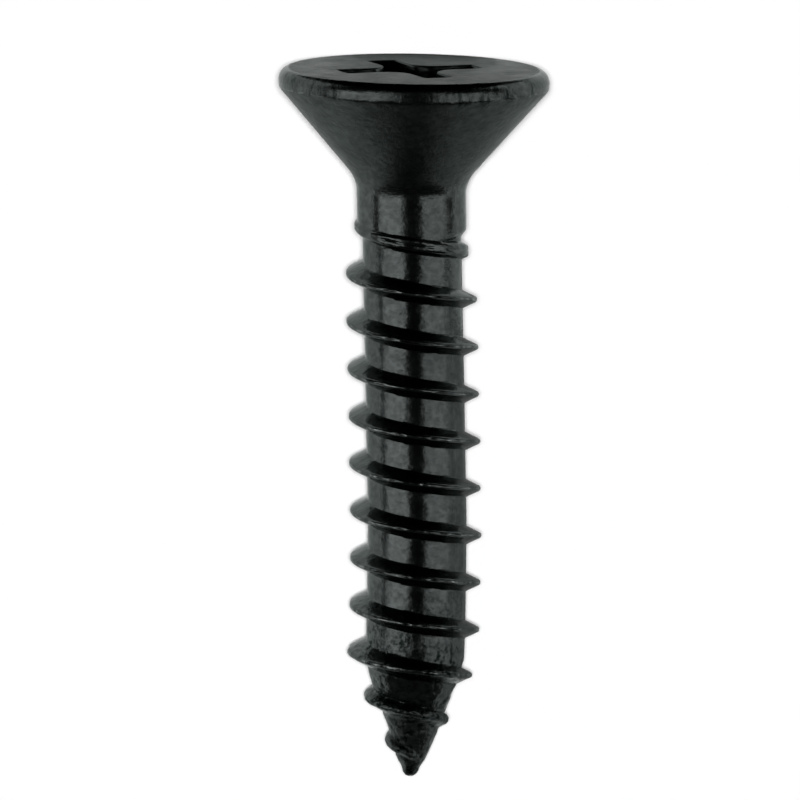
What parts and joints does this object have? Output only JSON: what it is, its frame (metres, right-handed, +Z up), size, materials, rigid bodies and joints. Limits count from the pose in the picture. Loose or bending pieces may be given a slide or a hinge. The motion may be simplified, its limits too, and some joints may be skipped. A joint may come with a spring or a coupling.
{
  "type": "self-tapping screw",
  "caption": "Countersunk self-tapping screw with a cross recess, plain neck, spaced rolled thread and gimlet point, in black-finished steel, lying on its side.",
  "frame": {"origin": "on the floor, under the middle of the lying screw's length and width", "axes": "+Y towards the head, +Z up, +X across; the screw's axis lies in the YZ plane, 7.13 degrees up towards the head"},
  "size_m": [0.0072, 0.0194, 0.0072],
  "materials": {
    "screw": "smooth rolled and headed steel under a thin black conversion coat, semi-gloss"
  },
  "bodies": {
    "root": {"screw": "screw"}
  },
  "joints": []
}
